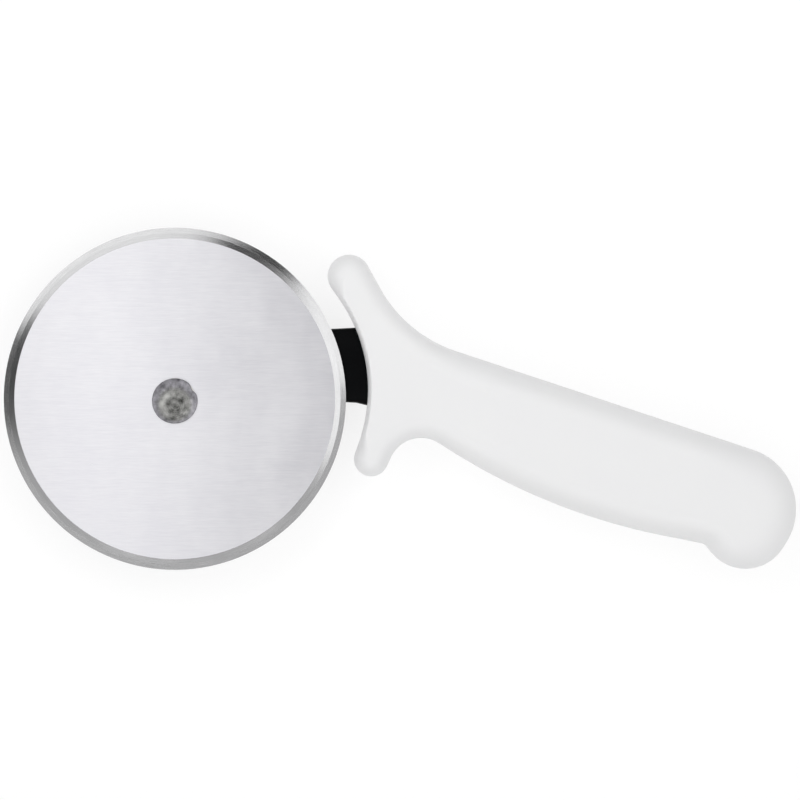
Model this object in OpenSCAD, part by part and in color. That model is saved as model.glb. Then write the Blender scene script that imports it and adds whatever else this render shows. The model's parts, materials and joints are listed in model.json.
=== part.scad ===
// Hand cutter for pastry and pizza: one steel wheel that spins on a riveted axle,
// a black nylon arm behind it, and a white handle moulded over the arm's tang.
//
// The cutter lies flat on its back. Z = 0 is the table, the middle of the cutter's
// length and width is at X = Y = 0, and the handle points along +X. The wheel turns
// about the Z direction. All sizes are in millimetres. Outlines and plates are drawn
// round the axle, and from_axle() puts each piece in its place.

/* [Wheel] */
// Diameter of the cutting wheel
wheel_d = 101.6; // [98:0.2:104]
// Thickness of the wheel's sheet
wheel_t = 1.5; // [1.2:0.1:2]
// Width of the ground bevel at the rim, whose outer half is steeper
bevel_w = 3.2; // [2:0.2:5]
// Thickness of the wheel at the middle of the bevel
mid_bevel_t = 1; // [0.7:0.05:1.1]
// Thickness left at the cutting edge
edge_t = 0.12; // [0.1:0.02:0.3]

/* [Axle] */
// Diameter of the rivet's shank
shank_d = 6; // [5:0.5:6.5]
// Outer diameter of the bush that the wheel turns on
bush_d = 9; // [8:0.5:10]
// Radial gap between the bush and the wheel's bore
running_gap = 0.05; // [0.03:0.01:0.09]
// Gap on each side of the wheel, along the axle
side_play = 0.05; // [0.04:0.01:0.2]
// Diameter of the head that is formed in front of the wheel
front_head_d = 13.6; // [12.8:0.2:16]
// How far the front head was formed off the axle, towards -Y
front_head_offset = 0.65; // [0:0.05:0.8]
// Diameter of the head behind the arm, which rests on the table
back_head_d = 11; // [9:0.5:13]

/* [Arm] */
// Thickness of the arm and its tang
arm_t = 5; // [4.4:0.2:5.6]
// Radius of the arm's long edges
arm_edge = 0.8; // [0.4:0.1:1.2]
// Diameter of the holes that lock the tang in the handle
lock_hole_d = 7; // [4:0.5:9]

/* [Handle] */
// Thickness of the grip
grip_t = 20; // [19:0.5:22]
// Thickness of the finger guard
guard_t = 14; // [13:0.5:18]
// How far the grip's sides round over
grip_round = 7.5; // [6:0.5:13]
// How far the butt's sides round over
butt_round = 12.5; // [8:0.5:12.5]
// How far the sides of the short guard prong round over
guard_round = 4.6; // [3:0.2:4.8]
// How far the sides of the long guard prong round over
prong_round = 5.8; // [3:0.2:6]
// How far the guard's hollow front rounds over
front_round = 1.4; // [1.2:0.1:3]

/* [Hidden] */
$fn = 96;

// Pulleys [x, y, r] that the outlines run round, counter-clockwise. A pulley with
// a positive r lies inside the shape, and one with a negative r hollows it.
HANDLE_PULLEYS = [
    [51.7, 36.5, 6.3],       // tip of the long guard prong
    [10, 2.6, -47.3],        // hollow front that follows the wheel
    [58.3, -17.9, 5.1],      // tip of the short guard prong
    [73.1, -21.4, -9.8],     // notch for the forefinger
    [181.4, 141.8, 186],     // belly of the grip
    [155.7, -45.9, -3.1],    // neck in front of the butt
    [169.6, -37.5, 13],      // butt, lower round
    [166.1, -32.8, 18.5],    // butt, upper round
    [96.1, 52.3, -40.2]      // sweep from the back of the grip to the long prong
];
ARM_PULLEYS = [
    [0, 0, 12],              // hub
    [51, -21, -20],          // lower edge, which flares where it enters the handle
    [120, -16, 7],           // end of the tang
    [58, 15.4, 6],           // shoulder inside the handle
    [46, 9.8, 11]            // upper edge
];
LOCK_HOLES = [[76, 4], [92, -3.5], [107, -10]];

GUARD_END_X = 72;            // the guard is flat up to here
GRIP_START_X = 104;          // the grip has its full thickness from here
BUTT_START_X = 170;          // the butt is beyond this
ROUND_X = [60, 98];          // the guard's rounding turns into the grip's over this span
BUTT_ROUND_X = [156, 182];   // and the grip's into the butt's over this one
PRONG_ROUND_Y = [16, 32];    // the long prong's rounding grows over this span
FRONT_MID_Y = 9.3;           // middle of the guard's hollow front
FRONT_FADE = [19, 26];       // its rounding fades out at this distance from the middle
FRONT_DEPTH = 4;             // and at this one behind the front
AXLE_X = -67;                // where the axle stands in the cutter's frame
TURN_STEP = 12;              // largest turn between two outline points, in degrees
RUN_STEP = 4;                // largest distance between two outline points
HANDLE_RINGS = 7;
ARM_RINGS = 2;

wheel_r = wheel_d / 2;
shank_r = shank_d / 2;
bush_r = bush_d / 2;
inner_washer_r = 10;
inner_washer_t = 0.45;
outer_washer_r = front_head_d / 2 - front_head_offset - 0.05;
outer_washer_t = 0.3;
washer_gap = 0.1;            // radial gap between a washer and the bush
front_head_h = 1.1;
back_head_h = 2;
rivet_washer_r = 7.5;
rivet_washer_t = 0.8;
boss_base_r = 11;
boss_tip_r = 8.6;
boss_sunk = 1;               // how far the boss's cone runs on into the arm

arm_back_z = 6;
boss_back_z = back_head_h + rivet_washer_t;
arm_front_z = arm_back_z + arm_t;
wheel_back_z = arm_front_z + inner_washer_t + side_play;
wheel_front_z = wheel_back_z + wheel_t;
front_head_z = wheel_front_z + side_play + outer_washer_t;
grip_mid_z = grip_t / 2;

// Angle of the outward normal on the straight run from pulley p to pulley q.
function run_normal(p, q) =
    atan2(q.y - p.y, q.x - p.x) - acos((p.z - q.z) / norm([q.x - p.x, q.y - p.y]));

function full_turn(a) = a - 360 * floor(a / 360);

function on_pulley(p, a) = [p.x + p.z * cos(a), p.y + p.z * sin(a), a];

// Points round pulley p, from normal angle a0 to a1, as [x, y, normal angle].
function bend(p, a0, a1) =
    let (
        sweep = p.z > 0 ? full_turn(a1 - a0) : -full_turn(a0 - a1),
        arc = abs(p.z * sweep) * PI / 180,
        steps = ceil(max(abs(sweep) / TURN_STEP, arc / RUN_STEP, 1))
    )
    [for (k = [0:steps]) on_pulley(p, a0 + sweep * k / steps)];

// Points between the ends of a straight run, without the ends.
function run(from, to) =
    let (steps = ceil(norm([to.x - from.x, to.y - from.y]) / RUN_STEP))
    [for (k = [1:1:steps - 1]) [
        from.x + (to.x - from.x) * k / steps,
        from.y + (to.y - from.y) * k / steps,
        to.z
    ]];

// The closed outline round all pulleys.
function belt(pulleys) =
    let (
        n = len(pulleys),
        normals = [for (i = [0:n - 1]) run_normal(pulleys[i], pulleys[(i + 1) % n])]
    )
    [for (i = [0:n - 1])
        let (
            p = pulleys[i],
            q = pulleys[(i + 1) % n],
            round_part = bend(p, normals[(i + n - 1) % n], normals[i]),
            straight_part = run(on_pulley(p, normals[i]), on_pulley(q, normals[i]))
        )
        each concat(round_part, straight_part)
    ];

function inset(p, depth) = [p.x - depth * cos(p.z), p.y - depth * sin(p.z)];

// Positive where the path from a by b to c turns left.
function turn(a, b, c) = (b.x - a.x) * (c.y - b.y) - (b.y - a.y) * (c.x - b.x);

function covers(a, b, c, p) = turn(a, b, p) >= 0 && turn(b, c, p) >= 0 && turn(c, a, p) >= 0;

// Length of the cut that takes corner k off the ring, or a huge one where it can't go.
function cut_length(rim, ring, k) =
    let (
        n = len(ring),
        i = ring[(k + n - 1) % n],
        j = ring[k],
        m = ring[(k + 1) % n],
        blocked = turn(rim[i], rim[j], rim[m]) < 0.001
            || len([
                for (q = ring)
                    if (q != i && q != j && q != m && covers(rim[i], rim[j], rim[m], rim[q])) q
            ]) > 0
    )
    blocked ? 1e6 : norm(rim[m] - rim[i]);

// Triangles that fill a flat ring of points, taking the corner with the shortest cut first.
function fill(rim, ring) =
    len(ring) == 3 ? [ring]
    : let (
        n = len(ring),
        cuts = [for (k = [0:n - 1]) cut_length(rim, ring, k)],
        k = search(min(cuts), cuts)[0]
    )
    concat(
        [[ring[(k + n - 1) % n], ring[k], ring[(k + 1) % n]]],
        fill(rim, [for (m = [0:n - 1]) if (m != k) ring[m]])
    );

// Strip of triangles between the lower side, which runs up from point i to i_end, and
// the upper side, which runs down from point j to j_end.
function strip(rim, i, j, i_end, j_end) =
    i == i_end && j == j_end ? []
    : j == j_end || (i < i_end && rim[i + 1].x < rim[j - 1].x)
        ? concat([[i, i + 1, j]], strip(rim, i + 1, j, i_end, j_end))
        : concat([[i, j - 1, j]], strip(rim, i, j - 1, i_end, j_end));

// Triangles that close a rim. Both ends of it are flat, and the middle from x = span[0]
// to x = span[1], where the thickness may change along x, is a strip.
function cap(outline, rim, span) =
    let (
        n = len(outline),
        right = [for (i = [0:n - 1]) if (outline[i].x > span[0]) i],
        beyond = [for (i = [0:n - 1]) if (outline[i].x > span[1]) i]
    )
    len(right) == 0 ? fill(rim, [for (i = [0:n - 1]) i])
    : let (
        low = right[0] - 1,
        high = right[len(right) - 1] + 1,
        low_end = beyond[0],
        high_end = beyond[len(beyond) - 1]
    )
    concat(
        fill(rim, concat([for (i = [high:1:n - 1]) i], [for (i = [0:low]) i])),
        strip(rim, low, high, low_end, high_end),
        fill(rim, [for (i = [low_end:high_end]) i])
    );

function reversed(face) = [for (i = [len(face) - 1:-1:0]) face[i]];

function shifted(faces, by) = [for (f = faces) [for (i = f) i + by]];

// Solid with the given outline, whose sides round over above and below z = 0.
// depth and half are functions of an outline point: how far the rounding reaches
// in from the outline, and half of the thickness there, which may change along span.
module rounded_body(outline, depth, half, rings, span) {
    n = len(outline);
    levels = 2 * rings;
    points = [
        for (j = [0:levels], p = outline)
            let (a = 90 * (j / rings - 1), xy = inset(p, depth(p) * (1 - cos(a))))
            [xy.x, xy.y, half(p) * sin(a)]
    ];
    sides = [
        for (j = [0:levels - 1], i = [0:n - 1])
            let (a = j * n + i, b = j * n + (i + 1) % n)
            each [[a, a + n, b + n], [a, b + n, b]]
    ];
    closing = cap(outline, [for (p = outline) inset(p, depth(p))], span);
    polyhedron(
        points,
        concat(
            sides,
            closing,
            [for (f = shifted(closing, levels * n)) reversed(f)]
        ),
        convexity = 6
    );
}

function ease(x, from, to) =
    let (t = min(max((x - from) / (to - from), 0), 1))
    t * t * (3 - 2 * t);

function blend(a, b, t) = a + (b - a) * t;

module from_axle() {
    translate([AXLE_X, 0, 0])
        children();
}

module ring(z, h, r_out, r_in) {
    translate([0, 0, z])
        difference() {
            cylinder(h = h, r = r_out);
            translate([0, 0, -1])
                cylinder(h = h + 2, r = r_in);
        }
}

module cutting_wheel() {
    bore_r = bush_r + running_gap;
    mid_z = wheel_t / 2;
    flat_r = wheel_r - bevel_w;
    mid_r = wheel_r - bevel_w / 2;
    color("gainsboro")
        from_axle()
            translate([0, 0, wheel_back_z])
                rotate_extrude()
                    polygon([
                        [bore_r, 0],
                        [flat_r, 0],
                        [mid_r, mid_z - mid_bevel_t / 2],
                        [wheel_r, mid_z - edge_t / 2],
                        [wheel_r, mid_z + edge_t / 2],
                        [mid_r, mid_z + mid_bevel_t / 2],
                        [flat_r, wheel_t],
                        [bore_r, wheel_t]
                    ]);
}

module axle_bush() {
    color("darkgoldenrod")
        from_axle()
            ring(arm_front_z, front_head_z - arm_front_z, bush_r, shank_r);
}

module outer_washer() {
    color("ivory")
        from_axle()
            ring(wheel_front_z + side_play, outer_washer_t, outer_washer_r, bush_r + washer_gap);
}

module inner_washer() {
    color("ivory")
        from_axle()
            ring(arm_front_z, inner_washer_t, inner_washer_r, bush_r + washer_gap);
}

// Half section of the front head, from its underside up.
function front_head_section(r) = [
    [0, 0],
    [r, 0],
    [r, 0.5],
    for (a = [30:30:60]) [r - 0.6 + 0.6 * cos(a), 0.5 + 0.5 * sin(a)],
    [r - 0.6, 1],
    [r / 2, front_head_h],
    [0, front_head_h]
];

module axle_rivet() {
    back_r = back_head_d / 2;
    back_flat_r = back_r - 1.5;
    shank_end_z = front_head_z + front_head_h / 2;
    color("dimgray")
        from_axle() {
            rotate_extrude()
                polygon([
                    [0, 0],
                    [back_flat_r, 0],
                    for (a = [-75:15:0])
                        [back_flat_r + 1.5 * cos(a), 1.5 + 1.5 * sin(a)],
                    [back_r, back_head_h],
                    [shank_r, back_head_h],
                    [shank_r, shank_end_z],
                    [0, shank_end_z]
                ]);
            translate([0, -front_head_offset, front_head_z])
                rotate_extrude()
                    polygon(front_head_section(front_head_d / 2));
        }
}

module rivet_washer() {
    color("silver")
        from_axle()
            ring(back_head_h, rivet_washer_t, rivet_washer_r, shank_r);
}

module hub_sleeve() {
    color("silver")
        from_axle()
            ring(boss_back_z, arm_front_z - boss_back_z, bush_r, shank_r);
}

// The arm and its tang without the bore, which is also the space they take in the handle.
module arm_blank() {
    difference() {
        translate([0, 0, arm_back_z + arm_t / 2])
            rounded_body(
                belt(ARM_PULLEYS),
                function (p) arm_edge,
                function (p) arm_t / 2,
                ARM_RINGS,
                [1000, 1000]
            );
        for (hole = LOCK_HOLES)
            translate([hole.x, hole.y, arm_back_z - 1])
                cylinder(h = arm_t + 2, d = lock_hole_d);
    }
}

module arm() {
    boss_h = arm_back_z - boss_back_z;
    boss_slope = (boss_base_r - boss_tip_r) / boss_h;
    color("#17181b")
        from_axle()
            difference() {
                union() {
                    arm_blank();
                    translate([0, 0, boss_back_z])
                        cylinder(
                            h = boss_h + boss_sunk,
                            r1 = boss_tip_r,
                            r2 = boss_base_r + boss_slope * boss_sunk
                        );
                }
                translate([0, 0, boss_back_z - 1])
                    cylinder(h = arm_front_z - boss_back_z + 2, r = bush_r);
            }
}

// How far the rounding reaches in from outline point p of the handle.
function handle_round(p) =
    let (
        hollow = HANDLE_PULLEYS[1],
        behind = norm([p.x - hollow.x, p.y - hollow.y]) + hollow.z,
        guard = blend(guard_round, prong_round, ease(p.y, PRONG_ROUND_Y.x, PRONG_ROUND_Y.y)),
        grip = blend(grip_round, butt_round, ease(p.x, BUTT_ROUND_X.x, BUTT_ROUND_X.y)),
        side = blend(guard, grip, ease(p.x, ROUND_X.x, ROUND_X.y)),
        along = 1 - ease(abs(p.y - FRONT_MID_Y), FRONT_FADE.x, FRONT_FADE.y)
    )
    blend(side, front_round, along * (1 - ease(behind, 0, FRONT_DEPTH)));

module handle() {
    color("whitesmoke")
        from_axle()
            difference() {
                translate([0, 0, grip_mid_z])
                    rounded_body(
                        belt(HANDLE_PULLEYS),
                        function (p) handle_round(p),
                        function (p)
                            blend(guard_t, grip_t, ease(p.x, GUARD_END_X, GRIP_START_X)) / 2,
                        HANDLE_RINGS,
                        [GUARD_END_X, BUTT_START_X]
                    );
                arm_blank();
            }
}

cutting_wheel();
axle_bush();
outer_washer();
inner_washer();
axle_rivet();
rivet_washer();
hub_sleeve();
arm();
handle();
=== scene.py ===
"""Looks of the hand cutter: brushed steel wheel, peened rivet, black arm, white moulded handle."""

import json
import math

import bmesh
import bpy
import numpy as np
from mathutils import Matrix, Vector, geometry, noise


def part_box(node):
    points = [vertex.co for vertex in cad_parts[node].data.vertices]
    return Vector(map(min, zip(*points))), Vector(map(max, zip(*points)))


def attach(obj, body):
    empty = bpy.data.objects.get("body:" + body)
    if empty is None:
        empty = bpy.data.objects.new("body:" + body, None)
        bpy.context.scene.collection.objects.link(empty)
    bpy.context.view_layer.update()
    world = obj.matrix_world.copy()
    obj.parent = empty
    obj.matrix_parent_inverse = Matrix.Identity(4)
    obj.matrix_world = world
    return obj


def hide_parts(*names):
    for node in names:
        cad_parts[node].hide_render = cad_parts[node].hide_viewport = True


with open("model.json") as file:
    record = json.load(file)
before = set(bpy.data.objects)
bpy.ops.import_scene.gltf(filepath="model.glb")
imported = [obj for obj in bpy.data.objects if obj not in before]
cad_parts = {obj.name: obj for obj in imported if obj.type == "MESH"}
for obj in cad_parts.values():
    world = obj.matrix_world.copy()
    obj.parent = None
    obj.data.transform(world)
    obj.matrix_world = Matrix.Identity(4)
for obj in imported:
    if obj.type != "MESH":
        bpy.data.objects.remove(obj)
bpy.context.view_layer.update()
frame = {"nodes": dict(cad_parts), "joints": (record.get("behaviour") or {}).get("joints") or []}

MM = 0.001
axle = Vector(frame["joints"][0]["pos_m"])
scene = bpy.context.scene


# ---------------------------------------------------------------- outlines

# The same pulleys as in the CAD source: x, y from the axle and radius, in millimetres.
HANDLE_PULLEYS = [
    (51.7, 36.5, 6.3),
    (10.0, 2.6, -47.3),
    (58.3, -17.9, 5.1),
    (73.1, -21.4, -9.8),
    (181.4, 141.8, 186.0),
    (155.7, -45.9, -3.1),
    (169.6, -37.5, 13.0),
    (166.1, -32.8, 18.5),
    (96.1, 52.3, -40.2),
]


def mix(a, b, share):
    return a + (b - a) * share


def on_pulley(p, a):
    return (p[0] + p[2] * math.cos(a), p[1] + p[2] * math.sin(a), a)


def belt(pulleys, turn, step):
    """Closed outline round the pulleys, as (x, y, angle of the outward normal)."""
    n = len(pulleys)
    normals = []
    for i, p in enumerate(pulleys):
        q = pulleys[(i + 1) % n]
        along = math.atan2(q[1] - p[1], q[0] - p[0])
        gap = math.hypot(q[0] - p[0], q[1] - p[1])
        normals.append(along - math.acos((p[2] - q[2]) / gap))
    points = []
    for i, p in enumerate(pulleys):
        a0, a1 = normals[i - 1], normals[i]
        if p[2] > 0:
            sweep = (a1 - a0) % (2 * math.pi)
        else:
            sweep = -((a0 - a1) % (2 * math.pi))
        count = math.ceil(max(abs(sweep) / turn, abs(p[2] * sweep) / step, 1))
        points += [on_pulley(p, a0 + sweep * k / count) for k in range(count + 1)]
        start, end = points[-1], on_pulley(pulleys[(i + 1) % n], a1)
        length = math.hypot(end[0] - start[0], end[1] - start[1])
        count = math.ceil(length / step)
        for k in range(1, count):
            t = k / count
            points.append((mix(start[0], end[0], t), mix(start[1], end[1], t), a1))
    return points


def ease(x, low, high):
    t = np.clip((x - low) / (high - low), 0, 1)
    return t * t * (3 - 2 * t)


def distance_to_outline(points, outline):
    """Distance of each point from the closed outline."""
    a = np.array([(p[0], p[1]) for p in outline])
    b = np.roll(a, -1, axis=0)
    d = b - a
    pts = np.asarray(points)
    rel = pts[:, None, :] - a[None]
    t = np.clip((rel * d[None]).sum(2) / (d * d).sum(1)[None], 0, 1)
    return np.sqrt(((rel - t[..., None] * d[None]) ** 2).sum(2)).min(1)


def mesh_object(name, verts, faces, sharp=None):
    mesh = bpy.data.meshes.new(name)
    mesh.from_pydata([tuple(v) for v in verts], [], faces)
    mesh.validate()
    mesh.update()
    mesh.polygons.foreach_set("use_smooth", [True] * len(mesh.polygons))
    if sharp is not None:
        mesh.set_sharp_from_angle(angle=math.radians(sharp))
    obj = bpy.data.objects.new(name, mesh)
    scene.collection.objects.link(obj)
    return obj


# ---------------------------------------------------------------- handle

# The crown raises the flat sides by this share of the half thickness, over this reach.
CROWN, CROWN_REACH = 0.05, 14.0
# Half thickness of the guard, and the span along x in which it grows into the grip's.
GUARD_HALF = 7.0
THICKEN_X = (72, 104)
# How far the sides round over, and where one value turns into the next, as in the CAD source.
GUARD_ROUND, PRONG_ROUND, GRIP_ROUND, BUTT_ROUND, FRONT_ROUND = 4.6, 5.8, 7.5, 12.5, 1.4
ROUND_X, BUTT_ROUND_X, PRONG_ROUND_Y = (60, 98), (156, 182), (16, 32)
FRONT_MID_Y, FRONT_FADE, FRONT_DEPTH = 9.3, (19, 26), 4
# How far the parting line stands proud, and half its height at the top and at the foot.
PARTING_LINE, RIDGE_TOP, RIDGE_FOOT = 0.05, 0.09, 0.17
# Rows of faces up each side of the edge, and the spacing of the points inside the flats.
SIDE_ROWS, GRID = 22, 1.6
handle_low, handle_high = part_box("handle")
grip_half = (handle_high.z - handle_low.z) / 2 / MM
mid_z = (handle_high.z + handle_low.z) / 2


def half_thickness(x):
    return mix(GUARD_HALF, grip_half, ease(x, *THICKEN_X))


def rounding(x, y):
    """How far the rounding reaches in from the outline: least at the guard's hollow front."""
    hollow = HANDLE_PULLEYS[1]
    behind = np.hypot(x - hollow[0], y - hollow[1]) + hollow[2]
    guard = mix(GUARD_ROUND, PRONG_ROUND, ease(y, *PRONG_ROUND_Y))
    grip = mix(GRIP_ROUND, BUTT_ROUND, ease(x, *BUTT_ROUND_X))
    side = mix(guard, grip, ease(x, *ROUND_X))
    along = 1 - ease(np.abs(y - FRONT_MID_Y), *FRONT_FADE)
    return mix(side, FRONT_ROUND, along * (1 - ease(behind, 0, FRONT_DEPTH)))


def crown(depth):
    return 1 - (1 - np.clip(depth / CROWN_REACH, 0, 1)) ** 2


def side_rings(outline):
    """Rings of points up the handle's side, from the parting line to the rim of the flat."""
    x = np.array([p[0] for p in outline])
    y = np.array([p[1] for p in outline])
    nx = np.cos([p[2] for p in outline])
    ny = np.sin([p[2] for p in outline])
    reach, half = rounding(x, y), half_thickness(x)

    # Angle round the edge, how far proud, and the height where the angle doesn't set it.
    # The first three make the ridge of the parting line.
    rows = [(0.0, PARTING_LINE, 0.0), (0.0, PARTING_LINE, RIDGE_TOP), (0.0, 0.0, RIDGE_FOOT)]
    rows += [(90 * (k / SIDE_ROWS) ** 0.9, 0.0, None) for k in range(1, SIDE_ROWS + 1)]
    rings = []
    for angle, proud, level in rows:
        a = math.radians(angle)
        depth = reach * (1 - math.cos(a)) - proud
        if level is None:
            z = half * ((1 - CROWN) * math.sin(a) + CROWN * crown(depth))
        else:
            z = np.full(len(outline), level)
        rings.append(np.stack([x - depth * nx, y - depth * ny, z], 1))
    return rings


def flat_side(outline, rim):
    """The crowned flat inside the rim: points, heights, faces, and which points are the rim's."""
    n = len(rim)
    low, high = np.min(outline, 0), np.max(outline, 0)
    # A triangular grid, with every other row half a step along.
    gx, gy = np.meshgrid(
        np.arange(low[0], high[0], GRID), np.arange(low[1], high[1], GRID * 0.87)
    )
    gx[1::2] += GRID / 2
    grid = np.stack([gx.ravel(), gy.ravel()], 1)
    grid = grid[distance_to_outline(grid, rim) > GRID * 0.6]
    coords = [Vector(p) for p in rim[:, :2].tolist() + grid.tolist()]
    edges = [(i, (i + 1) % n) for i in range(n)]
    out = geometry.delaunay_2d_cdt(coords, edges, [list(range(n))], 1, 1e-7)
    points, faces = np.array([tuple(p) for p in out[0]]), out[2]
    on_rim = {k: i for k, came_from in enumerate(out[3]) for i in came_from if i < n}
    depth = distance_to_outline(points, outline)
    heights = half_thickness(points[:, 0]) * ((1 - CROWN) + CROWN * crown(depth))
    return points.tolist(), heights.tolist(), faces, on_rim


def build_handle():
    outline = belt(HANDLE_PULLEYS, turn=math.radians(4), step=0.9)
    n = len(outline)
    upper = side_rings(outline)
    rings = [ring * (1, 1, -1) for ring in reversed(upper[1:])] + upper
    verts, faces = np.concatenate(rings).tolist(), []
    for j in range(len(rings) - 1):
        for i in range(n):
            a, b = j * n + i, j * n + (i + 1) % n
            faces.append((a, b, b + n, a + n))

    flat, heights, flat_faces, on_rim = flat_side(outline, upper[-1])
    for side, rim_from in ((1, (len(rings) - 1) * n), (-1, 0)):
        place = {}
        for k, (x, y) in enumerate(flat):
            if k in on_rim:
                place[k] = rim_from + on_rim[k]
            else:
                place[k] = len(verts)
                verts.append([x, y, side * heights[k]])
        for face in flat_faces:
            ids = [place[k] for k in face]
            faces.append(ids if side > 0 else ids[::-1])
    verts = np.array(verts) * MM + (axle.x, axle.y, mid_z)
    return mesh_object("handle_body", verts, faces)


# ---------------------------------------------------------------- rivet

rivet_low, rivet_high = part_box("axle_rivet")
wheel_low, wheel_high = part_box("cutting_wheel")
HEAD_R = (rivet_high.y - rivet_low.y) / 2 / MM
HEAD_OFF_AXLE = ((rivet_low.y + rivet_high.y) / 2 - axle.y) / MM
WASHER_AND_PLAY = 0.35
HEAD_FROM = wheel_high.z / MM + WASHER_AND_PLAY
HEAD_H = rivet_high.z / MM - HEAD_FROM
# Height of the front head's edge, whose upper half is rounded.
EDGE_H = 0.6
EDGE_R = EDGE_H / 2
EDGE_MID_Z = HEAD_FROM + EDGE_R
# Radius of the shank, and the back head's radius, height and rounding.
SHANK_R, BACK_R, BACK_H, BACK_EDGE = 3.0, 5.5, 2.0, 1.5
# The face's height above the head's underside, and the boss's height above the face.
FACE_H, BOSS_H = 0.62, 0.26

# The peening tool left a boss on the head, lower than the middle.
BOSS_X, BOSS_Y, BOSS_R = 0.05, -1.05, 5.2
# Dents and stains, and polished spots where the last value is negative: x, y, radius, depth, stain.
MARKS = [
    (-1.7, -0.7, 1.0, 0.0, 0.03),
    (-1.5, -2.2, 1.1, 0.0, 0.08),
    (1.35, -0.3, 0.85, 0.05, 0.22),
    (2.2, 0.1, 0.7, 0.03, 0.10),
    (1.9, -4.6, 0.8, 0.04, 0.18),
    (-0.8, -5.0, 0.9, 0.03, 0.14),
    (2.0, 4.2, 1.0, 0.04, 0.14),
    (-3.6, 4.3, 0.9, 0.02, 0.14),
    (1.35, 6.3, 0.55, 0.15, 0.5),
    (-2.1, 1.2, 0.8, -0.03, -0.32),
    (-4.2, -1.2, 1.0, 0.0, -0.18),
    (3.2, -1.0, 0.9, 0.0, -0.15),
    (2.8, 2.2, 1.2, 0.0, -0.12),
    (6.2, -1.6, 1.4, 0.0, -0.30),
    (5.0, -4.2, 1.2, 0.0, -0.22),
]


def head_edge(angle):
    """How far the head's outline stands out from its circle, as a fraction of the radius."""
    edge = 0.012 * noise.noise(Vector((1.6 * math.cos(angle), 1.6 * math.sin(angle), 4.0)))
    edge += 0.006 * noise.noise(Vector((6 * math.cos(angle), 6 * math.sin(angle), 9.0)))
    return edge - 0.085 * math.exp(-(((math.degrees(angle) - 33) / 11) ** 2)) - 0.01


def head_face(x, y):
    """Height in millimetres, polish with a painted highlight, and share of the boss, at x and y
    from the head's middle.
    """
    bx, by = x - BOSS_X, y - BOSS_Y
    r, a = math.hypot(bx, by), math.atan2(by, bx)
    on_boss = 1 - ease(r, BOSS_R - 1.1, BOSS_R + 0.7)
    blotch = noise.noise(Vector((x * 0.8 + 7.1, y * 0.8 + 2.3, 0.4)))
    grit = noise.noise(Vector((x * 2.6, y * 2.6, 5.5)))
    groove = math.sin(2 * math.pi * r / 0.62 + 2.5 * blotch + 0.8 * math.sin(2 * a))
    quarter = 0.5 + 0.5 * math.cos(a + math.radians(50))
    ridge = math.exp(-(((r - 3.7) / 0.9) ** 2))
    # Painted highlight: the ridge round the boss is lightened most on its side facing 172 degrees,
    # as if lit from there; it goes into the polish below.
    bright = ridge * (0.25 + 0.75 * max(0.0, math.cos(a - math.radians(172))))
    z = FACE_H + on_boss * (BOSS_H - 0.1 * math.exp(-((r / 2.2) ** 2)) + 0.08 * ridge)
    z += (0.02 + 0.04 * on_boss) * blotch + 0.01 * grit + 0.008 * on_boss * groove * (0.4 + quarter)
    # The polish is real wear and random tone, plus the painted highlight on the ridge.
    polish_and_highlight = 0.38 + on_boss * (0.34 * bright - 0.1) + 0.26 * blotch + 0.12 * grit
    polish_and_highlight += 0.035 * on_boss * groove * (0.4 + quarter)
    for dx, dy, radius, depth, stain in MARKS:
        share = math.exp(-((x - dx) ** 2 + (y - dy) ** 2) / radius**2)
        z -= depth * share
        polish_and_highlight -= stain * share
    return z, polish_and_highlight, on_boss


def head_point(r, z, a):
    """A point of the front head, its polish with a painted highlight, and its share of the boss."""
    wide = 1 + head_edge(a) * (r / HEAD_R) ** 3
    x, y = r * math.cos(a) * wide, r * math.sin(a) * wide
    height, polish_and_highlight, on_boss = head_face(x, y)
    if z > EDGE_MID_Z:
        z += float(ease(HEAD_R - r, 0.0, EDGE_R)) * (min(height, HEAD_H) - EDGE_H)
    return (x, y + HEAD_OFF_AXLE, z), polish_and_highlight, on_boss


def rivet_profile():
    """Radius, height, and True where the ring is round the front head's middle, not the axle."""
    profile = [(0, 0, False), (3.2, 0, False)]
    profile += [
        (BACK_R - BACK_EDGE + BACK_EDGE * math.cos(a), BACK_EDGE + BACK_EDGE * math.sin(a), False)
        for a in np.radians(np.arange(-90, 1, 10))
    ]
    profile += [(BACK_R, BACK_H, False), (SHANK_R, BACK_H, False), (SHANK_R, HEAD_FROM, False)]
    profile += [(HEAD_R - 0.2, HEAD_FROM, True), (HEAD_R, HEAD_FROM + 0.15, True)]
    flat_from = HEAD_R - EDGE_R
    profile += [
        (flat_from + EDGE_R * math.cos(a), EDGE_MID_Z + EDGE_R * math.sin(a), True)
        for a in np.radians(np.arange(0, 91, 15))
    ]
    face_rings = 46
    profile += [
        (flat_from * (1 - k / face_rings), HEAD_FROM + EDGE_H, True)
        for k in range(1, face_rings + 1)
    ]
    return profile


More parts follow.
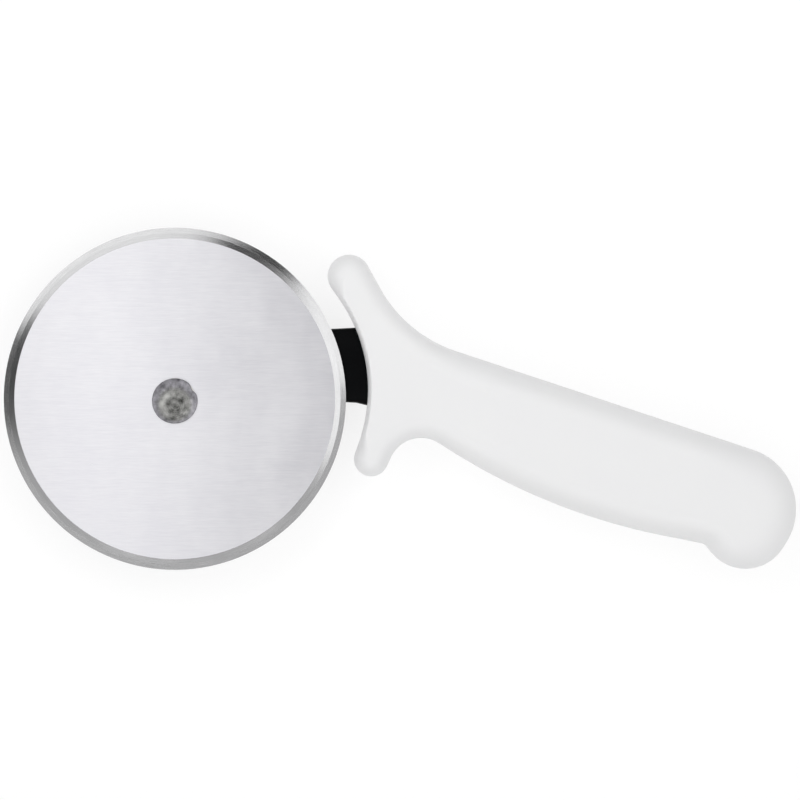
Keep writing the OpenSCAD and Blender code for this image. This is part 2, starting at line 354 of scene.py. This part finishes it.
def build_rivet():
    """Shank, back head and the front head, whose face is rough from orbital peening."""
    profile = rivet_profile()
    around = 288
    verts, faces, first, polish_and_highlight, boss = [], [], [], [], []
    for r, z, on_head in profile:
        first.append(len(verts))
        for k in range(around if r > 1e-6 else 1):
            a = 2 * math.pi * k / around
            if on_head:
                point, point_polish_and_highlight, on_boss = head_point(r, z, a)
            else:
                point, point_polish_and_highlight, on_boss = (r * math.cos(a), r * math.sin(a), z), 0.4, 1.0
            verts.append(point)
            polish_and_highlight.append(min(max(point_polish_and_highlight, 0.0), 1.0))
            boss.append(float(on_boss))
    for j in range(len(profile) - 1):
        a0, b0 = first[j], first[j + 1]
        for k in range(around):
            m = (k + 1) % around
            if profile[j][0] < 1e-6:
                faces.append((a0, b0 + m, b0 + k))
            elif profile[j + 1][0] < 1e-6:
                faces.append((a0 + k, a0 + m, b0))
            else:
                faces.append((a0 + k, a0 + m, b0 + m, b0 + k))
    verts = np.array(verts) * MM + (axle.x, axle.y, 0)
    obj = mesh_object("rivet_peened", verts, faces, sharp=50)
    # The polish attribute holds real wear and tone plus a painted highlight on the ridge round the
    # boss.
    obj.data.attributes.new("polish_and_highlight", "FLOAT", "POINT").data.foreach_set("value", polish_and_highlight)
    obj.data.attributes.new("boss", "FLOAT", "POINT").data.foreach_set("value", boss)
    return obj


# ---------------------------------------------------------------- copies of CAD nodes

def smooth_copy(node, name, sharp):
    """A new piece with the CAD node's shape, its corners joined and its curved faces smooth."""
    bm = bmesh.new()
    bm.from_mesh(frame["nodes"][node].data)
    bmesh.ops.remove_doubles(bm, verts=bm.verts, dist=2e-6)
    bmesh.ops.dissolve_degenerate(bm, edges=bm.edges, dist=1e-7)
    mesh = bpy.data.meshes.new(name)
    bm.to_mesh(mesh)
    bm.free()
    mesh.polygons.foreach_set("use_smooth", [True] * len(mesh.polygons))
    mesh.set_sharp_from_angle(angle=math.radians(sharp))
    obj = bpy.data.objects.new(name, mesh)
    scene.collection.objects.link(obj)
    return obj


# ---------------------------------------------------------------- materials

class Nodes:
    """Short names for making the nodes of a material or of the world."""

    def __init__(self, owner, kind="BSDF_PRINCIPLED"):
        owner.use_nodes = True
        self.owner = owner
        self.tree = owner.node_tree
        self.shader = next(n for n in self.tree.nodes if n.type == kind)

    def add(self, kind, inputs=(), **settings):
        node = self.tree.nodes.new(kind)
        for key, value in settings.items():
            setattr(node, key, value)
        for key, value in dict(inputs).items():
            self.put(node.inputs[key], value)
        return node

    def put(self, socket, value):
        if isinstance(value, bpy.types.NodeSocket):
            self.tree.links.new(value, socket)
        else:
            socket.default_value = value

    def set(self, **inputs):
        for key, value in inputs.items():
            self.put(self.shader.inputs[key.replace("_", " ")], value)

    def math(self, operation, a, b=0.0, c=0.0):
        return self.add("ShaderNodeMath", {0: a, 1: b, 2: c}, operation=operation).outputs[0]

    def noise(self, vector, scale, detail=2.0, rough=0.5):
        inputs = {"Vector": vector, "Scale": scale, "Detail": detail, "Roughness": rough}
        return self.add("ShaderNodeTexNoise", inputs).outputs["Fac"]

    def span(self, value, low, high, to_low, to_high):
        inputs = {"Value": value, 1: low, 2: high, 3: to_low, 4: to_high}
        return self.add("ShaderNodeMapRange", inputs).outputs[0]

    def place(self):
        return self.add("ShaderNodeTexCoord").outputs["Object"]

    def split(self, vector):
        return self.add("ShaderNodeSeparateXYZ", {0: vector}).outputs

    def join(self, x, y):
        return self.add("ShaderNodeCombineXYZ", {0: x, 1: y}).outputs[0]

    def from_axle(self):
        """The place as a vector from the axle, its X, Y and Z, and how far out it is."""
        inputs = {0: self.place(), 1: tuple(-axle)}
        local = self.add("ShaderNodeVectorMath", inputs, operation="ADD").outputs[0]
        xyz = self.split(local)
        out = {0: self.join(xyz[0], xyz[1])}
        radius = self.add("ShaderNodeVectorMath", out, operation="LENGTH").outputs["Value"]
        return local, xyz, radius

    def dot(self, vector, direction):
        inputs = {0: vector, 1: direction}
        return self.add("ShaderNodeVectorMath", inputs, operation="DOT_PRODUCT").outputs["Value"]

    def mix(self, factor, a, b):
        return self.add("ShaderNodeMix", {0: factor, 2: a, 3: b}, data_type="FLOAT").outputs[0]

    def blend(self, factor, a, b):
        """A mix of two colours."""
        node = self.add("ShaderNodeMix", data_type="RGBA")
        self.put(node.inputs[0], factor)
        self.put(node.inputs[6], a)
        self.put(node.inputs[7], b)
        return node.outputs[2]

    def scaled(self, vector, scale):
        return self.add("ShaderNodeMapping", {"Vector": vector, "Scale": scale}).outputs[0]

    def bump(self, height, strength, distance):
        inputs = {"Height": height, "Strength": strength, "Distance": distance}
        return self.add("ShaderNodeBump", inputs).outputs[0]


def new_material(name):
    return Nodes(bpy.data.materials.new(name))


def white_plastic():
    m = new_material("handle_plastic")
    at = m.place()
    peel = m.noise(at, 900, 2.0)
    cloud = m.noise(at, 38, 3.0)
    grain = m.noise(at, 2600, 1.0)
    color = m.blend(cloud, (0.766, 0.766, 0.776, 1), (0.794, 0.794, 0.794, 1))
    rough = m.span(m.math("ADD", cloud, m.math("MULTIPLY", peel, 0.5)), 0.4, 1.1, 0.5, 0.62)
    m.set(Base_Color=color, Roughness=rough, IOR=1.49, Specular_IOR_Level=0.3)
    height = m.math("ADD", peel, m.math("MULTIPLY", grain, 0.35))
    m.set(Normal=m.bump(height, 0.25, 0.00006))
    return m.owner


def black_nylon():
    m = new_material("arm_nylon")
    at = m.place()
    fibre = m.noise(m.scaled(at, (500, 1500, 1500)), 1.0, 3.0)
    speck = m.noise(at, 2400, 2.0)
    color = m.blend(fibre, (0.0006, 0.0008, 0.0011, 1), (0.0016, 0.0018, 0.0023, 1))
    rough = m.span(speck, 0.3, 0.7, 0.34, 0.5)
    m.set(Base_Color=color, Roughness=rough, IOR=1.53, Specular_IOR_Level=0.04)
    height = m.math("ADD", fibre, m.math("MULTIPLY", speck, 0.5))
    m.set(Normal=m.bump(height, 0.3, 0.00005))
    return m.owner


BEVEL_W = 3.2 * MM


def wheel_steel():
    """Straight brushing on the faces and grinding marks round the bevel."""
    m = new_material("wheel_steel")
    flat_r = (wheel_high.x - wheel_low.x) / 2 - BEVEL_W
    local, xyz, radius = m.from_axle()
    on_bevel = m.math("GREATER_THAN", radius, flat_r)

    # Faces: short fine streaks and longer lines along X, and soft clouds.
    streaks = m.noise(m.scaled(local, (260, 3000, 900)), 1.0, 3.0, 0.6)
    lines = m.noise(m.scaled(local, (70, 1500, 900)), 1.0, 2.0, 0.6)
    clouds = m.noise(m.scaled(local, (48, 30, 40)), 1.0, 3.0, 0.6)
    brushed = m.math("MULTIPLY_ADD", streaks, 0.6, m.math("MULTIPLY", lines, 0.4))

    # Bevel: grinding marks that follow the rim, with slight waves.
    angle = m.math("ARCTAN2", xyz[1], xyz[0])
    turned = m.join(m.math("MULTIPLY", angle, 9.0), m.math("MULTIPLY", radius, 5000.0))
    ground = m.noise(turned, 1.0, 3.0, 0.6)

    height = m.mix(on_bevel, 0.5, ground)
    face_rough = m.math(
        "ADD", m.span(brushed, 0.3, 0.7, 0.285, 0.325), m.span(clouds, 0.3, 0.7, -0.02, 0.03)
    )
    rim_rough = m.span(ground, 0.3, 0.7, 0.13, 0.18)
    rough = m.mix(on_bevel, face_rough, rim_rough)
    shade = m.math("MULTIPLY_ADD", brushed, 0.5, m.math("MULTIPLY", clouds, 0.5))
    face_color = m.blend(
        m.span(shade, 0.385, 0.62, 0.0, 1.0), (0.682, 0.677, 0.711, 1), (0.764, 0.759, 0.785, 1)
    )
    rim_color = m.blend(
        m.span(ground, 0.35, 0.65, 0.0, 1.0), (0.48, 0.48, 0.485, 1), (0.54, 0.54, 0.545, 1)
    )
    color = m.blend(on_bevel, face_color, rim_color)
    across = m.add(
        "ShaderNodeVectorTransform",
        {0: (0.0, 1.0, 0.0)},
        vector_type="VECTOR",
        convert_from="OBJECT",
        convert_to="WORLD",
    ).outputs[0]
    m.set(Base_Color=color, Metallic=1.0, Roughness=rough, Anisotropic=0.55, Tangent=across)
    m.set(Normal=m.bump(height, 0.06, 0.000012))
    return m.owner


def rivet_steel():
    m = new_material("rivet_steel")
    at = m.place()
    polish_and_highlight = m.add("ShaderNodeAttribute", attribute_name="polish_and_highlight").outputs["Fac"]
    blotch = m.noise(at, 900, 3.0, 0.6)
    pits = m.noise(at, 2600, 3.0, 0.6)
    # The blend from dark to light follows real wear and random tone, plus the painted highlight
    # held in the polish attribute.
    wear_and_highlight = m.math("MULTIPLY_ADD", m.math("SUBTRACT", blotch, 0.5), 0.3, polish_and_highlight)
    boss = m.add("ShaderNodeAttribute", attribute_name="boss").outputs["Fac"]
    dark = m.blend(boss, (0.082, 0.08, 0.088, 1), (0.055, 0.055, 0.052, 1))
    light = m.blend(boss, (0.53, 0.52, 0.56, 1), (0.58, 0.58, 0.562, 1))
    color = m.blend(wear_and_highlight, dark, light)
    rough = m.math("ADD", m.span(pits, 0.3, 0.7, 0.0, 0.14), m.span(wear_and_highlight, 0.0, 1.0, 0.44, 0.28))
    m.set(Base_Color=color, Metallic=1.0, Roughness=rough)
    height = m.math("ADD", blotch, m.math("MULTIPLY", pits, 0.4))
    m.set(Normal=m.bump(height, 0.2, 0.00005))
    return m.owner


def turned_metal(name, low, high):
    """Turned metal whose marks run round the axle."""
    m = new_material(name)
    local, xyz, radius = m.from_axle()
    marks = m.join(m.math("MULTIPLY", radius, 4200.0), m.math("MULTIPLY", xyz[2], 4200.0))
    ring = m.noise(marks, 1.0, 2.0)
    tone = m.noise(m.place(), 420, 3.0)
    m.set(Base_Color=m.blend(tone, low, high), Metallic=1.0)
    m.set(Roughness=m.span(ring, 0.3, 0.7, 0.24, 0.4))
    m.set(Normal=m.bump(ring, 0.3, 0.00002))
    return m.owner


def washer_plastic():
    m = new_material("washer_plastic")
    at = m.place()
    tone = m.noise(at, 600, 3.0)
    m.set(Base_Color=m.blend(tone, (0.62, 0.61, 0.57, 1), (0.74, 0.73, 0.69, 1)))
    m.set(Roughness=m.span(tone, 0.3, 0.7, 0.38, 0.52), Normal=m.bump(tone, 0.2, 0.00003))
    return m.owner


def use_material(obj, material):
    obj.data.materials.clear()
    obj.data.materials.append(material)


# ---------------------------------------------------------------- pieces

handle = build_handle()
use_material(handle, white_plastic())
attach(handle, "holder")
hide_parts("handle")

rivet = build_rivet()
use_material(rivet, rivet_steel())
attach(rivet, "holder")
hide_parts("axle_rivet")

arm = smooth_copy("arm", "arm_moulded", 35)
use_material(arm, black_nylon())
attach(arm, "holder")
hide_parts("arm")

use_material(frame["nodes"]["cutting_wheel"], wheel_steel())
bright = turned_metal("sleeve_steel", (0.42, 0.42, 0.43, 1), (0.58, 0.58, 0.6, 1))
use_material(frame["nodes"]["rivet_washer"], bright)
use_material(frame["nodes"]["hub_sleeve"], bright)
bronze = turned_metal("bush_bronze", (0.42, 0.26, 0.11, 1), (0.58, 0.38, 0.17, 1))
use_material(frame["nodes"]["axle_bush"], bronze)
plastic = washer_plastic()
use_material(frame["nodes"]["outer_washer"], plastic)
use_material(frame["nodes"]["inner_washer"], plastic)


# ---------------------------------------------------------------- floor, light, camera

FLOOR_HALF = 3.0
FLOOR_DROP = 0.1 * MM
BOX_HEIGHT = 0.55


def build_floor():
    h = FLOOR_HALF
    floor = mesh_object("floor", [(-h, -h, 0), (h, -h, 0), (h, h, 0), (-h, h, 0)], [(0, 1, 2, 3)])
    floor.location.z = -FLOOR_DROP
    m = new_material("floor_pale")
    m.set(Base_Color=(0.22, 0.22, 0.22, 1), Roughness=0.9, Specular_IOR_Level=0.1)
    m.set(Emission_Color=(1, 1, 1, 1), Emission_Strength=0.78)
    use_material(floor, m.owner)


def build_world():
    """A pale room, bright at the horizon and high on the walls, with a dim ceiling."""
    scene.world = bpy.data.worlds.new("room")
    m = Nodes(scene.world, "BACKGROUND")
    at = m.add("ShaderNodeTexCoord").outputs["Generated"]
    x, y, up = m.split(at)
    ramp = m.add("ShaderNodeValToRGB", {"Fac": up})
    # Height on the unit sphere, and the level there.
    levels = [
        (0.0, 0.0),
        (0.18, 0.04),
        (0.49, 0.06),
        (0.62, 1.0),
        (0.74, 1.0),
        (0.785, 0.02),
        (1.0, 0.02),
    ]
    ramp.color_ramp.interpolation = "EASE"
    while len(ramp.color_ramp.elements) < len(levels):
        ramp.color_ramp.elements.new(0.5)
    for element, (place, level) in zip(ramp.color_ramp.elements, levels):
        element.position = place
        element.color = (level, level, level, 1)
    # The wall is dimmer in the north, and the ceiling paler in the south.
    wall = m.span(m.dot(at, (0.1, 0.995, 0.0)), 0.0, 1.0, 1.0, 0.42)
    around = m.add("ShaderNodeVectorMath", {0: m.join(x, y)}, operation="NORMALIZE").outputs[0]
    south = m.span(m.dot(around, (0.148, -0.989, 0.0)), -0.05, 0.16, 0.0, 0.258)
    low_edge = m.math("MULTIPLY", south, m.span(up, 0.76, 0.80, 0.0, 1.0))
    ceiling = m.math("MULTIPLY", low_edge, m.span(up, 0.965, 0.985, 1.0, 0.0))
    plain = m.math("ADD", ceiling, m.span(up, 0.09, 0.18, 0.4, 0.0))
    m.set(Color=m.math("MULTIPLY_ADD", ramp.outputs["Color"], wall, plain), Strength=2.5)


def soft_box(name, x_span, y_span, radiance, turn=0.0):
    """A soft box that shines straight down, with its spans and its turn about the axle."""
    width, depth = x_span[1] - x_span[0], y_span[1] - y_span[0]
    light = bpy.data.lights.new(name, "AREA")
    light.shape = "RECTANGLE"
    light.size, light.size_y = width, depth
    light.energy = radiance * math.pi * width * depth
    a = math.radians(turn)
    cx, cy = sum(x_span) / 2, sum(y_span) / 2
    x = axle.x + cx * math.cos(a) - cy * math.sin(a)
    y = axle.y + cx * math.sin(a) + cy * math.cos(a)
    box = bpy.data.objects.new(name, light)
    box.location = (x, y, BOX_HEIGHT)
    box.rotation_euler = (0, 0, a)
    box.visible_camera = False
    scene.collection.objects.link(box)


build_floor()
build_world()
soft_box("box_top_left", (-0.125, -0.016), (-0.195, 0.15), 1.37)
soft_box("box_top_right", (-0.016, 0.12), (-0.19, 0.175), 0.57)
soft_box("box_north_near", (0.175, 0.30), (-0.14, 0.16), 1.35, turn=117)
soft_box("box_north_far", (0.30, 0.66), (-0.33, 0.30), 1.35, turn=114)
soft_box("box_east_low", (0.15, 0.30), (-0.15, -0.03), 1.05, turn=15)
soft_box("box_east_near", (0.15, 0.30), (-0.03, 0.13), 1.65, turn=15)
soft_box("box_east_far", (0.30, 0.66), (-0.15, 0.12), 1.55, turn=29)

VIEW_CENTRE = (-0.15 * MM, -0.36 * MM)
VIEW_WIDTH = 237.4 * MM
camera_data = bpy.data.cameras.new("camera")
camera_data.lens = 200
camera_data.sensor_width = 36
camera = bpy.data.objects.new("camera", camera_data)
distance = VIEW_WIDTH * camera_data.lens / camera_data.sensor_width
camera.location = (*VIEW_CENTRE, wheel_high.z + distance)
scene.collection.objects.link(camera)
scene.camera = camera
scene.view_settings.view_transform = "Standard"
